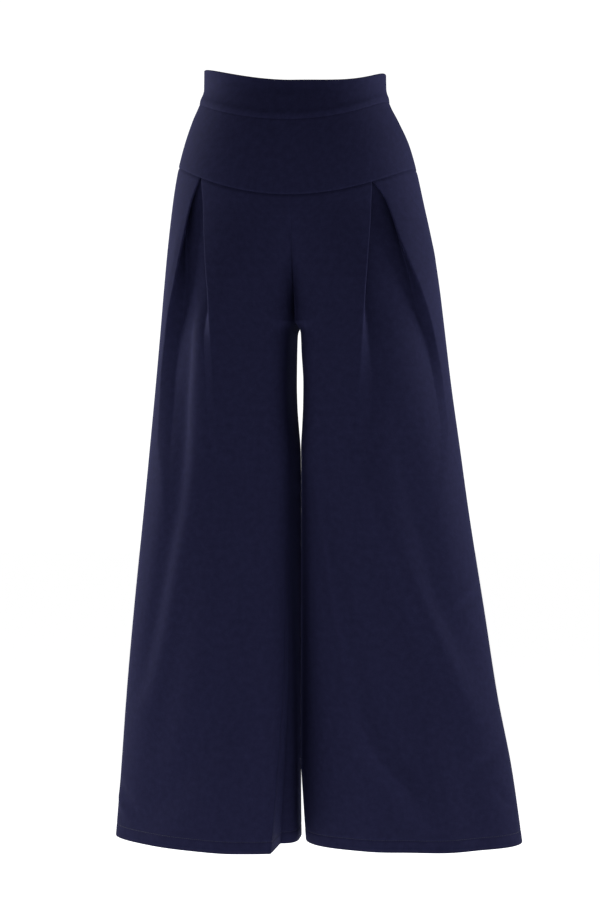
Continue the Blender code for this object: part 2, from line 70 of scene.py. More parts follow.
# Sections of each half of the garment: the side's and the crown's distance from the middle,
# the depth in front and behind, and how square the front is at its side and at its middle
SECTION_COLUMNS = ("height", "outer", "crown", "front", "back", "side_bow", "middle_bow")
SECTIONS = {
    "left": (
        (0.000, 0.2555, 0.075, 0.128, 0.122, 1.60, 4.5),
        (0.100, 0.2472, 0.078, 0.126, 0.121, 1.70, 4.5),
        (0.200, 0.2396, 0.080, 0.124, 0.120, 1.80, 4.5),
        (0.310, 0.2294, 0.082, 0.122, 0.118, 1.90, 5.0),
        (0.450, 0.2148, 0.084, 0.119, 0.116, 2.00, 6.0),
        (0.530, 0.2067, 0.085, 0.118, 0.116, 2.05, 7.0),
        (0.620, 0.1978, 0.084, 0.118, 0.118, 2.10, 7.0),
        (0.702, 0.1902, 0.080, 0.118, 0.121, 2.15, 6.0),
        (0.750, 0.1861, 0.066, 0.118, 0.126, 2.20, 4.5),
        (0.800, 0.1819, 0.040, 0.117, 0.130, 2.20, 3.0),
        (0.868, 0.1745, 0.000, 0.1155, 0.128, 2.20, 2.0),
        (0.914, 0.1670, 0.000, 0.113, 0.122, 2.20, 2.0),
        (0.947, 0.1588, 0.000, 0.110, 0.116, 2.15, 2.0),
        (0.980, 0.1478, 0.000, 0.105, 0.109, 2.10, 2.0),
        (1.001, 0.1387, 0.000, 0.100, 0.104, 2.10, 2.0),
        (1.012, 0.1350, 0.000, 0.0970, 0.100, 2.10, 2.0),
        (1.024, 0.1318, 0.000, 0.0955, 0.097, 2.10, 2.0),
        (1.060, 0.1314, 0.000, 0.0950, 0.096, 2.10, 2.0),
    ),
    "right": (
        (0.000, 0.3030, 0.160, 0.096, 0.120, 2.00, 2.5),
        (0.100, 0.2885, 0.142, 0.098, 0.119, 1.95, 2.8),
        (0.200, 0.2690, 0.122, 0.101, 0.118, 1.90, 3.2),
        (0.310, 0.2520, 0.104, 0.105, 0.117, 1.95, 4.0),
        (0.450, 0.2300, 0.090, 0.110, 0.116, 2.00, 5.5),
        (0.530, 0.2190, 0.085, 0.113, 0.116, 2.05, 7.0),
        (0.620, 0.2065, 0.082, 0.116, 0.118, 2.10, 7.0),
        (0.702, 0.1968, 0.078, 0.118, 0.121, 2.15, 6.0),
        (0.750, 0.1910, 0.064, 0.118, 0.126, 2.20, 4.5),
        (0.800, 0.1834, 0.038, 0.117, 0.130, 2.20, 3.0),
        (0.868, 0.1690, 0.000, 0.1155, 0.128, 2.20, 2.0),
        (0.914, 0.1588, 0.000, 0.113, 0.122, 2.20, 2.0),
        (0.947, 0.1492, 0.000, 0.110, 0.116, 2.15, 2.0),
        (0.980, 0.1341, 0.000, 0.105, 0.109, 2.10, 2.0),
        (1.001, 0.1235, 0.000, 0.100, 0.104, 2.10, 2.0),
        (1.012, 0.1205, 0.000, 0.0970, 0.100, 2.10, 2.0),
        (1.024, 0.1182, 0.000, 0.0955, 0.097, 2.10, 2.0),
        (1.060, 0.1177, 0.000, 0.0950, 0.096, 2.10, 2.0),
    ),
}
BACK_SIDE_BOW = 2.1
BACK_MIDDLE_BOW = 2.0

# How square the centre seams curve under to the crotch, and the most of a section's depth that
# they reach
CENTRE_CURVE = {"front": 2.3, "back": 2.6}
CENTRE_SHALLOWEST = 0.9999

# The inner wall of each leg, as signed x, and how far its front stands off from the middle. The
# last row also holds for the centre seams above the crotch, where the two halves overlap.
INNER_COLUMNS = ("height", "left", "right", "left_slant", "right_slant")
INNER_WALLS = (
    (0.000, 0.0005, 0.0080, 0.000, 0.000),
    (0.060, -0.0001, 0.0040, 0.000, 0.002),
    (0.110, -0.0003, 0.0008, 0.000, 0.006),
    (0.200, -0.0002, 0.0005, 0.000, 0.010),
    (0.310, -0.0002, 0.0005, -0.001, 0.012),
    (0.500, -0.0002, 0.0005, -0.003, 0.013),
    (0.530, -0.0007, 0.0011, -0.003, 0.011),
    (0.565, -0.0034, 0.0040, -0.003, 0.009),
    (0.590, -0.0052, 0.0058, -0.003, 0.008),
    (0.620, -0.0060, 0.0062, -0.003, 0.008),
    (0.660, -0.0056, 0.0046, -0.002, 0.007),
    (0.690, -0.0046, 0.0036, -0.001, 0.006),
    (0.702, 0.0004, -0.0004, 0.000, 0.000),
)

# The height below the yoke seam over which a front leg's rows stop following that seam
SEAM_BLEND = 0.060

# Inverted box pleats: the x of their two fold edges, how far each edge turns under in degrees,
# the length of the cloth turned under at each, the radii of the fold and its foot, and how far
# the pleat has spread flat, from 0 to 1
PLEAT_COLUMNS = ("height", "outer_edge", "inner_edge", "outer_turn", "inner_turn", "outer_under",
                 "inner_under", "fold_radius", "foot_radius", "spread")
PLEATS = {
    "left": (
        (0.400, 0.1700, 0.1020, 5, 5, 0.010, 0.010, 0.020, 0.020, 1.0),
        (0.480, 0.1750, 0.1040, 10, 5, 0.016, 0.010, 0.016, 0.016, 0.5),
        (0.550, 0.1820, 0.1060, 20, 6, 0.020, 0.010, 0.010, 0.012, 0.0),
        (0.610, 0.1820, 0.1080, 30, 9, 0.021, 0.010, 0.007, 0.009, 0.0),
        (0.675, 0.1760, 0.1100, 44, 16, 0.019, 0.010, 0.005, 0.007, 0.0),
        (0.736, 0.1650, 0.1110, 82, 80, 0.013, 0.009, 0.003, 0.004, 0.0),
        (0.800, 0.1530, 0.1160, 132, 130, 0.012, 0.011, 0.0018, 0.0018, 0.0),
        (0.857, 0.1405, 0.1203, 162, 162, 0.017, 0.017, 0.0015, 0.0008, 0.0),
        (0.8965, 0.1258, 0.1248, 180, 180, 0.022, 0.022, 0.0015, 0.0005, 0.0),
    ),
    "right": (
        (0.400, 0.1900, 0.0900, 5, 5, 0.010, 0.010, 0.020, 0.020, 1.0),
        (0.480, 0.1950, 0.0920, 6, 5, 0.012, 0.012, 0.018, 0.018, 0.5),
        (0.550, 0.2000, 0.0940, 10, 8, 0.013, 0.016, 0.012, 0.014, 0.0),
        (0.610, 0.1960, 0.0950, 24, 16, 0.012, 0.018, 0.008, 0.010, 0.0),
        (0.675, 0.1860, 0.0955, 56, 46, 0.009, 0.011, 0.004, 0.006, 0.0),
        (0.736, 0.1695, 0.0975, 100, 102, 0.009, 0.009, 0.0025, 0.003, 0.0),
        (0.800, 0.1455, 0.1012, 132, 134, 0.011, 0.011, 0.0018, 0.0015, 0.0),
        (0.857, 0.1248, 0.1047, 155, 158, 0.016, 0.016, 0.0015, 0.0008, 0.0),
        (0.8860, 0.1070, 0.1060, 180, 180, 0.022, 0.022, 0.0015, 0.0005, 0.0),
    ),
}

# The deep fold down the inner front corner of the left leg: the x of its edge, and how far the
# cloth behind the edge stands back
CORNER_COLUMNS = ("height", "edge", "depth")
CORNER_FOLD = (
    (0.000, 0.026, 0.078),
    (0.118, 0.018, 0.062),
    (0.197, 0.013, 0.046),
    (0.278, 0.010, 0.028),
    (0.360, 0.009, 0.010),
    (0.430, 0.009, 0.000),
)

# The length of cloth over which that fold steps back, and the height above which the columns at
# the corner, on both legs, lie at one x
CORNER_RUN = 0.006
CORNER_TOP = 0.600
CORNER_TOP_X = 0.040

# Soft flare folds, each from its upper to its lower end: x and height of both ends, the half
# width at both ends, and the depth at the lower end, inward where it is negative
FLARE_COLUMNS = ("leg", "face", "top", "top_x", "low", "low_x", "top_width", "low_width", "depth")
FLARES = (
    ("left", "front", 0.58, 0.085, 0.03, 0.215, 0.022, 0.030, -0.0060),
    ("left", "front", 0.60, 0.130, 0.12, 0.205, 0.020, 0.026, 0.0040),
    ("left", "front", 0.36, 0.050, 0.00, 0.085, 0.022, 0.034, 0.0040),
    ("right", "front", 0.52, 0.030, 0.00, 0.115, 0.016, 0.030, 0.0050),
    ("right", "front", 0.56, 0.085, 0.04, 0.240, 0.024, 0.032, -0.0060),
    ("right", "front", 0.46, 0.180, 0.00, 0.205, 0.022, 0.034, 0.0040),
    ("left", "back", 0.62, 0.060, 0.00, 0.055, 0.018, 0.024, 0.0070),
    ("left", "back", 0.64, 0.095, 0.00, 0.110, 0.018, 0.022, -0.0070),
    ("left", "back", 0.60, 0.135, 0.00, 0.170, 0.018, 0.024, 0.0070),
    ("right", "back", 0.60, 0.055, 0.00, 0.070, 0.018, 0.026, 0.0070),
    ("right", "back", 0.62, 0.100, 0.00, 0.140, 0.018, 0.024, -0.0080),
    ("right", "back", 0.58, 0.145, 0.00, 0.215, 0.020, 0.026, 0.0080),
)

# The last part of a flare's run, over which it keeps its full depth
FLARE_FADE = 0.15

# Flares fade in from both edges of a panel, and creases and puckers from its side seam, each
# over the panel's width divided by one of these
FLARE_EASE = 6
CREASE_EASE = 20
PUCKER_EASE = 30

# Long soft creases, point by point: height, x, the half widths on the outer and the inner side,
# and the depth, inward where it is negative
CREASE_COLUMNS = ("height", "x", "outer_width", "inner_width", "depth")
CREASES = (
    ("left", "front", (
        (0.180, 0.225, 0.015, 0.015, 0.0),
        (0.201, 0.213, 0.014, 0.016, -0.0030),
        (0.267, 0.195, 0.014, 0.016, -0.0065),
        (0.333, 0.182, 0.015, 0.016, -0.0080),
        (0.399, 0.170, 0.016, 0.016, -0.0080),
        (0.465, 0.158, 0.017, 0.015, -0.0075),
        (0.530, 0.152, 0.018, 0.012, -0.0065),
        (0.600, 0.150, 0.016, 0.010, -0.0060),
        (0.650, 0.146, 0.014, 0.009, -0.0045),
        (0.700, 0.144, 0.010, 0.008, -0.0020),
        (0.740, 0.143, 0.010, 0.008, 0.0),
    )),
    ("left", "front", (
        (0.010, 0.200, 0.040, 0.034, 0.0),
        (0.069, 0.166, 0.034, 0.032, -0.0050),
        (0.135, 0.1205, 0.032, 0.030, -0.0055),
        (0.201, 0.096, 0.030, 0.028, -0.0045),
        (0.267, 0.089, 0.030, 0.026, -0.0035),
        (0.333, 0.073, 0.028, 0.024, -0.0025),
        (0.420, 0.070, 0.026, 0.022, 0.0),
    )),
    ("left", "front", (
        (0.660, 0.168, 0.008, 0.008, 0.0),
        (0.730, 0.173, 0.007, 0.006, 0.0010),
        (0.790, 0.163, 0.007, 0.005, 0.0014),
        (0.850, 0.152, 0.006, 0.005, 0.0),
    )),
    ("right", "front", (
        (0.010, 0.200, 0.030, 0.020, 0.0),
        (0.069, 0.160, 0.024, 0.018, 0.0038),
        (0.135, 0.1105, 0.018, 0.014, 0.0050),
        (0.201, 0.082, 0.016, 0.012, 0.0060),
        (0.267, 0.070, 0.016, 0.011, 0.0060),
        (0.333, 0.058, 0.015, 0.010, 0.0060),
        (0.399, 0.0475, 0.013, 0.009, 0.0050),
        (0.465, 0.036, 0.012, 0.008, 0.0025),
        (0.520, 0.028, 0.012, 0.008, 0.0),
    )),
    ("right", "front", (
        (0.135, 0.262, 0.020, 0.020, 0.0),
        (0.201, 0.226, 0.018, 0.018, 0.0035),
        (0.267, 0.197, 0.018, 0.018, 0.0045),
        (0.333, 0.166, 0.018, 0.018, 0.0045),
        (0.399, 0.139, 0.018, 0.018, 0.0040),
        (0.465, 0.1105, 0.018, 0.016, 0.0030),
        (0.545, 0.085, 0.016, 0.014, 0.0),
    )),
    ("right", "front", (
        (0.200, 0.255, 0.020, 0.020, 0.0),
        (0.267, 0.222, 0.022, 0.018, -0.0035),
        (0.333, 0.194, 0.024, 0.018, -0.0050),
        (0.399, 0.178, 0.025, 0.018, -0.0055),
        (0.465, 0.160, 0.030, 0.018, -0.0050),
        (0.545, 0.145, 0.030, 0.018, -0.0028),
        (0.600, 0.135, 0.030, 0.020, 0.0),
    )),
    ("left", "back", (
        (0.010, 0.165, 0.040, 0.034, 0.0),
        (0.140, 0.135, 0.032, 0.030, 0.0040),
        (0.300, 0.104, 0.028, 0.026, 0.0050),
        (0.470, 0.084, 0.024, 0.022, 0.0035),
        (0.600, 0.078, 0.020, 0.020, 0.0),
    )),
    ("left", "back", (
        (0.180, 0.222, 0.018, 0.018, 0.0),
        (0.300, 0.188, 0.018, 0.018, -0.0045),
        (0.450, 0.160, 0.018, 0.016, -0.0055),
        (0.620, 0.146, 0.016, 0.014, -0.0035),
        (0.730, 0.140, 0.014, 0.012, 0.0),
    )),
    ("right", "back", (
        (0.020, 0.205, 0.036, 0.034, 0.0),
        (0.150, 0.162, 0.030, 0.028, 0.0045),
        (0.330, 0.122, 0.026, 0.024, 0.0050),
        (0.500, 0.096, 0.022, 0.020, 0.0030),
        (0.640, 0.086, 0.020, 0.018, 0.0),
    )),
    ("right", "back", (
        (0.120, 0.268, 0.018, 0.018, 0.0),
        (0.260, 0.224, 0.018, 0.018, -0.0040),
        (0.420, 0.186, 0.018, 0.016, -0.0050),
        (0.580, 0.162, 0.016, 0.014, -0.0030),
        (0.700, 0.150, 0.014, 0.012, 0.0),
    )),
    ("right", "front", (
        (0.735, 0.181, 0.007, 0.007, 0.0),
        (0.790, 0.181, 0.006, 0.006, 0.0014),
        (0.850, 0.162, 0.006, 0.006, 0.0),
    )),
)

# Short puckers: distance from the side seam along the cloth, height, the angle of their run
# above level, half length, half width and depth
PUCKER_COLUMNS = ("leg", "face", "from_side", "height", "angle", "half_length", "half_width",
                  "depth")
PUCKERS = (
    ("left", "front", 0.030, 0.045, 150, 0.030, 0.006, 0.0016),
    ("left", "front", 0.045, 0.058, 150, 0.035, 0.009, -0.0020),
    ("right", "front", 0.050, 0.330, 160, 0.026, 0.007, -0.0020),
    ("right", "front", 0.046, 0.345, 160, 0.022, 0.006, 0.0014),
    ("right", "front", 0.060, 0.120, 150, 0.036, 0.009, -0.0026),
    ("right", "front", 0.040, 0.060, 35, 0.024, 0.006, -0.0022),
    ("right", "front", 0.036, 0.075, 35, 0.022, 0.006, 0.0016),
)

# Seams and edges: how far the cloth dips at its own edges and the width of the dip, at the side,
# centre, inner leg and band seams, under the yoke and along the lower edge of the yoke. Then
# the band's ridge and its height above the band seam, and the groove of the hem's stitch line.
SEAM_DIP = 0.0004
SEAM_DIP_WIDTH = 0.0012
UNDER_YOKE_DIP = 0.0014
UNDER_YOKE_WIDTH = 0.0026
YOKE_LIP_DIP = 0.0004
YOKE_LIP_WIDTH = 0.0010
BAND_RIDGE = 0.0009
BAND_RIDGE_ABOVE = 0.0070
BAND_RIDGE_WIDTH = 0.0045
HEM_GROOVE = 0.0005
HEM_GROOVE_WIDTH = 0.0009

# The side seam of the right hip stands open a little just below the waistband: the height and
# how far it is open there, from 0 to 1
GAPE_COLUMNS = ("height", "open")
GAPE = (
    (0.950, 0.0),
    (0.985, 1.0),
    (1.003, 0.0),
)
GAPE_DEPTH = 0.0046
GAPE_RUN = 0.016

# Stitches of the hems: their rise at mid length, the part of the radius that sinks into the
# cloth, and the thickness at points along a stitch, as parts of its length and radius
STITCH_LENGTH = 0.0024
STITCH_PITCH = 0.0031
STITCH_RADIUS = 0.00022
STITCH_RISE = 0.00024
STITCH_SUNK = 0.4
STITCH_SIDES = 6
STITCH_PROFILE = ((0.0, 0.3), (0.2, 0.9), (0.5, 1.0), (0.8, 0.9), (1.0, 0.3))

# Numbers of rows and columns
QUARTER_POINTS = 80
DENSE_POINTS = 241
SIDE_COLUMNS = 34
FRONT_COLUMNS = 44
CORNER_RISE_COLUMNS = 12
WALL_COLUMNS = 16
BACK_COLUMNS = 96
HALF_YOKE_COLUMNS = 84
FOLD_STEPS = 8
TURN_STEPS = 3
FOOT_STEPS = 5
UNDER_STEPS = 24
UPPER_ROWS = 44
LOWER_ROWS = 150
YOKE_ROWS = 26
BAND_ROWS = 30

# Distances of the closely set rows and columns from a seam, and of the rows from the hem
FINE_STEPS = (0.0005, 0.0011, 0.0019, 0.0030, 0.0046)
HEM_STEPS = (0.0003, 0.0009, 0.0020, 0.0045, 0.0080, 0.0120, 0.0142, 0.0152, 0.0160, 0.0168,
             0.0178, 0.0200, 0.0240)
HEM_TOP = 0.029

# Rings: the rough length of half of one, the least steps that its even columns and rows keep
# from the fine ones, and the fraction from which the normals turn to straight ahead
HALF_RING = 0.2
LEAST_COLUMN = 0.004
LEAST_ROW = 0.01
MIDDLE_FLAT = 0.96

# Shells: the least divisor of a corner's joined normals, which limits their length, the thinnest
# lip, the shift of the inside in the cloth's own coordinates, and the angle from which an edge
# is sharp
MITRE_LEAST = 0.2
LIP_LEAST = 0.0001
INSIDE_SHIFT = (0.5, 0.0)
SHARP_ANGLE = math.radians(60)

# Keeps a length that divides off zero
TINY = 1e-12


def column(table, names, name):
    """One column of a table, as an array."""
    return np.array([row[names.index(name)] for row in table], dtype=float)


def smooth(positions, values, at):
    """A smooth curve through the table's values that never overshoots them."""
    at = np.asarray(at, dtype=float)
    step = np.diff(positions)
    slope = np.diff(values) / step
    tangent = np.zeros_like(values)
    product = slope[:-1] * slope[1:]
    total = np.where(product > 0, slope[:-1] + slope[1:], 1.0)
    tangent[1:-1] = np.where(product > 0, 2 * product / total, 0.0)
    tangent[0], tangent[-1] = slope[0], slope[-1]
    index = np.clip(np.searchsorted(positions, at) - 1, 0, len(step) - 1)
    part = np.clip((at - positions[index]) / step[index], 0.0, 1.0)
    rise = part * part * (3 - 2 * part)
    start = part * (1 - part) ** 2
    end = -part * part * (1 - part)
    bend = step[index] * (start * tangent[index] + end * tangent[index + 1])
    return values[index] * (1 - rise) + values[index + 1] * rise + bend


def read(table, names, name, height):
    """A table's column at any height."""
    return smooth(column(table, names, "height"), column(table, names, name), height)


def ease(value):
    """Zero below 0, one above 1, and smooth between."""
    value = np.clip(value, 0.0, 1.0)
    return value * value * (3 - 2 * value)


def dip(distance, width):
    """One at an edge, falling off smoothly over the width."""
    return np.exp(-(distance / width) ** 2)


def bow(angle, power):
    """Cosine and sine of the angle, bent to a squarer or flatter oval."""
    return np.abs(np.cos(angle)) ** (2 / power), np.abs(np.sin(angle)) ** (2 / power)


def section(side, face, height, fraction):
    """Points of the cloth's outer surface, their outward normals and the length of each row.

    The fraction runs along the cloth at one height, from the side seam at 0 to the centre seam
    or the inseam at 1.
    """
    height = np.asarray(height, dtype=float)
    sign = -1.0 if side == "left" else 1.0
    ahead = -1.0 if face == "front" else 1.0
    table = SECTIONS[side]
    reach_over = ahead * SEAM_OVERLAP / 2

    outer = sign * read(table, SECTION_COLUMNS, "outer", height)
    crown = sign * read(table, SECTION_COLUMNS, "crown", height)
    depth = ahead * read(table, SECTION_COLUMNS, face, height)
    below = np.minimum(height, CROTCH_HEIGHT)
    inner = read(INNER_WALLS, INNER_COLUMNS, side, below)
    slant = read(INNER_WALLS, INNER_COLUMNS, side + "_slant", below) * (face == "front")
    seam_y = SIDE_SEAM_Y - reach_over
    inseam_y = INSEAM_Y - reach_over
    if face == "front":
        side_bow = read(table, SECTION_COLUMNS, "side_bow", height)
        middle_bow = read(table, SECTION_COLUMNS, "middle_bow", height)
    else:
        side_bow = np.full_like(height, BACK_SIDE_BOW)
        middle_bow = np.full_like(height, BACK_MIDDLE_BOW)

    seam_top = EDGES["yoke_seam"][EDGE_COLUMNS.index(face)]
    fall = np.clip((seam_top - height) / (seam_top - CROTCH_HEIGHT), 0.0, 1.0)
    power = CENTRE_CURVE[face]
    left_over = np.minimum((1 - fall ** power) ** (1 / power), CENTRE_SHALLOWEST)

    angle = np.linspace(0.0, math.pi / 2, QUARTER_POINTS)[None, :]
    across, along = bow(angle, side_bow[:, None])
    side_x = crown[:, None] + (outer - crown)[:, None] * across
    side_y = seam_y + (depth - seam_y)[:, None] * along
    last = np.arcsin(left_over ** (middle_bow / 2))[:, None]
    angle = last + (math.pi / 2 - last) * np.linspace(1.0, 0.0, QUARTER_POINTS)
    across, along = bow(angle, middle_bow[:, None])
    across = across / across[:, -1:]
    middle_x = crown[:, None] + ((inner - crown)[:, None] + slant[:, None] * along) * across
    middle_y = inseam_y + (depth - inseam_y)[:, None] * along
    x = np.concatenate([side_x, middle_x[:, 1:]], axis=1)
    y = np.concatenate([side_y, middle_y[:, 1:]], axis=1)

    run_x, run_y = np.diff(x, axis=1), np.diff(y, axis=1)
    run = np.hypot(run_x, run_y) + TINY
    reach = np.concatenate([np.zeros((len(height), 1)), np.cumsum(run, axis=1)], axis=1)
    goal = np.clip(fraction, 0.0, 1.0) * reach[:, -1]
    index = np.clip((reach <= goal[:, None]).sum(axis=1) - 1, 0, run.shape[1] - 1)
    row = np.arange(len(height))
    part = (goal - reach[row, index]) / run[row, index]
    points = np.stack([x[row, index] + run_x[row, index] * part,
                       y[row, index] + run_y[row, index] * part], axis=1)
    tangent_x = np.gradient(x, axis=1)
    tangent_y = np.gradient(y, axis=1)
    after = np.minimum(index + 1, x.shape[1] - 1)
    tangent = np.stack([
        tangent_x[row, index] * (1 - part) + tangent_x[row, after] * part,
        tangent_y[row, index] * (1 - part) + tangent_y[row, after] * part], axis=1)
    tangent /= np.hypot(tangent[:, 0], tangent[:, 1])[:, None] + TINY
    turn = turn_of(side, face)
    normals = np.stack([turn * tangent[:, 1], -turn * tangent[:, 0]], axis=1)
    return points, normals, reach[:, -1]


def turn_of(side, face):
    """The side of the path that is outside the garment: 1 on its right, -1 on its left."""
    return 1.0 if (side == "left") == (face == "front") else -1.0


def edge_height(edge, side, face, fraction):
    """The height of a seam or edge at a fraction of the way from the side to the middle."""
    heights = dict(zip(EDGE_COLUMNS, EDGES[edge]))
    fraction = np.asarray(fraction, dtype=float)
    level = np.full_like(fraction, heights[side])
    points, _, _ = section(side, face, level, fraction)
    edge_x = abs(section(side, face, level[:1], np.zeros(1))[0][0, 0])
    ratio = np.abs(points[:, 0]) / edge_x
    power = heights[side + "_power"]
    return heights[face] + (heights[side] - heights[face]) * ratio ** power


def flare_depth(side, face, height, x):
    """How far the flare folds push the cloth out at the given heights and x."""
    total = np.zeros_like(height)
    for row in FLARES:
        fold = dict(zip(FLARE_COLUMNS, row))
        if fold["leg"] != side or fold["face"] != face:
            continue
        down = (fold["top"] - height) / (fold["top"] - fold["low"])
        centre = fold["top_x"] + (fold["low_x"] - fold["top_x"]) * down
        width = fold["top_width"] + (fold["low_width"] - fold["top_width"]) * np.clip(down, 0, 1)
        depth = fold["depth"] * ease(down / (1 - FLARE_FADE))
        total += depth * np.exp(-((np.abs(x) - centre) / width) ** 2)
    return total


def crease_depth(side, face, height, x):
    """How far the long creases push the cloth out."""
    total = np.zeros_like(height)
    for leg, panel, table in CREASES:
        if leg != side or panel != face:
            continue
        value = {name: read(table, CREASE_COLUMNS, name, height) for name in CREASE_COLUMNS[1:]}
        away = np.abs(x) - value["x"]
        width = np.where(away > 0, value["outer_width"], value["inner_width"])
        inside = (height > table[0][0]) & (height < table[-1][0])
        total += np.where(inside, value["depth"] * np.exp(-(away / width) ** 2), 0.0)
    return total


def pucker_depth(side, face, height, from_side):
    """How far the short puckers push the cloth out."""
    total = np.zeros_like(height)
    for row in PUCKERS:
        fold = dict(zip(PUCKER_COLUMNS, row))
        if fold["leg"] != side or fold["face"] != face:
            continue
        run = math.radians(fold["angle"])
        over, up = from_side - fold["from_side"], height - fold["height"]
        along = (over * math.cos(run) + up * math.sin(run)) / fold["half_length"]
        across = (up * math.cos(run) - over * math.sin(run)) / fold["half_width"]
        total += fold["depth"] * np.exp(-along ** 2 - across ** 2)
    return total


def pleat_side(edge, turn, length, fold_radius, foot_radius):
    """One side of a pleat seen along the leg, from the flap to the foot of the turned cloth.

    The flap comes from the negative side at depth 0 and folds under at the edge.
    """
    points = []
    for bend in np.linspace(0.0, turn, FOLD_STEPS + 1):
        points.append((edge - fold_radius + fold_radius * math.sin(bend),
                       -fold_radius + fold_radius * math.cos(bend)))
    start = points[-1]
    heading = (math.cos(turn), -math.sin(turn))
    for step in range(1, TURN_STEPS):
        points.append((start[0] + heading[0] * length * step / TURN_STEPS,
                       start[1] + heading[1] * length * step / TURN_STEPS))
    foot = (start[0] + heading[0] * length, start[1] + heading[1] * length)
    middle = (foot[0] + foot_radius * math.sin(turn), foot[1] + foot_radius * math.cos(turn))
    for bend in np.linspace(turn, 0.0, FOOT_STEPS + 1):
        points.append((middle[0] - foot_radius * math.sin(bend),
                       middle[1] - foot_radius * math.cos(bend)))
    return points


def pleat_path(side, height, outer_at, inner_at):
    """Distances along the cloth and depths of one pleat, across both of its folds."""
    value = {name: float(read(PLEATS[side], PLEAT_COLUMNS, name, height))
             for name in PLEAT_COLUMNS[1:]}
    radii = (value["fold_radius"], value["foot_radius"])
    first = pleat_side(outer_at, math.radians(value["outer_turn"]), value["outer_under"], *radii)
    second = pleat_side(-inner_at, math.radians(value["inner_turn"]), value["inner_under"], *radii)
    second = [(-distance, depth) for distance, depth in reversed(second)]
    foot, other = first[-1], second[0]
    under = []
    for step in range(1, UNDER_STEPS):
        part = step / UNDER_STEPS
        under.append((foot[0] + (other[0] - foot[0]) * part,
                      foot[1] + (other[1] - foot[1]) * float(ease(part))))
    path = np.array(first + under + second)
    even = np.zeros_like(path)
    even[:, 0] = np.linspace(path[0, 0], path[-1, 0], len(path))
    return path * (1 - value["spread"]) + even * value["spread"]


def with_fine_start(run):
    """Distances of a run whose first stretch has fine steps at the seam."""
    return np.concatenate([[0.0], FINE_STEPS, run])


def dense_row(side, height):
    """Distances along a front leg panel at one height, and the x at each, taken as positive."""
    dense = np.linspace(0.0, 1.0, DENSE_POINTS)
    points, _, lengths = section(side, "front", np.full_like(dense, height), dense)
    return dense * lengths[0], np.abs(points[:, 0])


def where(row, goal):
    """The distance along a dense row at which the cloth reaches an x."""
    distance, x = row
    end = int(np.argmin(x)) + 1
    return float(np.interp(-float(goal), -x[:end], distance[:end]))


def front_row(side, middle_height):
    """One row of a front leg panel, from side to middle.

    Gives the distances of its points along the cloth, their heights, the row's length, the
    distance of the end of the pleat, and how far each point lies out and back.
    """
    seam = dict(zip(EDGE_COLUMNS, EDGES["yoke_seam"]))
    pleat_top = PLEATS[side][-1][0]
    height = middle_height * pleat_top / seam["front"]
    outer_row, middle_row = dense_row(side, height), dense_row(side, middle_height)
    length = middle_row[0][-1]
    outer_at = where(outer_row, read(PLEATS[side], PLEAT_COLUMNS, "outer_edge", height))
    inner_at = where(outer_row, read(PLEATS[side], PLEAT_COLUMNS, "inner_edge", height))
    path = pleat_path(side, height, outer_at, inner_at)
    hinge = path[-1, 0]

    corner_x = read(CORNER_FOLD, CORNER_COLUMNS, "edge", height)
    low = float(ease((CORNER_TOP - height) / (CORNER_TOP - CORNER_FOLD[-1][0])))
    corner = where(middle_row, CORNER_TOP_X) * (1 - low) + where(middle_row, corner_x) * low
    even_run = (length - corner) * CORNER_RISE_COLUMNS / (CORNER_RISE_COLUMNS + WALL_COLUMNS)
    run = even_run * (1 - low) + CORNER_RUN * low
    fine = FINE_STEPS[-1]
    wall_end = length - fine
    first = with_fine_start(np.linspace(fine, path[0, 0], SIDE_COLUMNS + 1)[1:-1])
    last = np.linspace(corner + run, wall_end, WALL_COLUMNS + 1)[1:-1]
    distance = np.concatenate([
        first, path[:, 0],
        np.linspace(path[-1, 0], corner, FRONT_COLUMNS + 1)[1:],
        np.linspace(corner, corner + run, CORNER_RISE_COLUMNS + 1)[1:],
        last, length - np.array(FINE_STEPS[::-1]), [length]])
    depth = np.zeros_like(distance)
    depth[len(first):len(first) + len(path)] = path[:, 1]
    back = np.zeros_like(distance)
    if side == "left":
        reach = float(read(CORNER_FOLD, CORNER_COLUMNS, "depth", height))
        rise = ease((distance - corner) / CORNER_RUN)
        back = reach * rise * np.clip((length - distance) / (length - corner), 0.0, 1.0)
    inward = ease((distance - hinge) / (corner - hinge))
    ratio = np.interp(distance, *outer_row) / outer_row[1][0] * (1 - inward)
    ratio += np.interp(distance, *middle_row) / middle_row[1][0] * inward
    rise = (seam[side] / seam["front"] - 1) * ratio ** seam[side + "_power"]
    return distance, middle_height * (1 + rise), length, hinge, depth, back


def own_fractions(side, height, distance, length, hinge):
    """Fractions of a front row's points, each at its own height.

    Up to the hinge the points keep their distances from the side seam, and beyond it they
    spread over what is left of the row.
    """
    own = section(side, "front", height, np.zeros_like(distance))[2]
    beyond = (distance - hinge) / (length - hinge)
    return np.where(distance > hinge, hinge + beyond * (own - hinge), distance) / own


def back_row(side, face, level):
    """Fractions of one row of a back leg panel, from side to middle."""
    seam = dict(zip(EDGE_COLUMNS, EDGES["yoke_seam"]))
    _, _, lengths = section(side, face, np.array([level * seam[side] / seam[face]]), np.zeros(1))
    length = lengths[0]
    fine = FINE_STEPS[-1]
    middle = np.linspace(fine, length - fine, BACK_COLUMNS + 1)[1:-1]
    distance = np.concatenate([with_fine_start(middle), length - np.array(FINE_STEPS[::-1]),
                               [length]])
    return distance / length


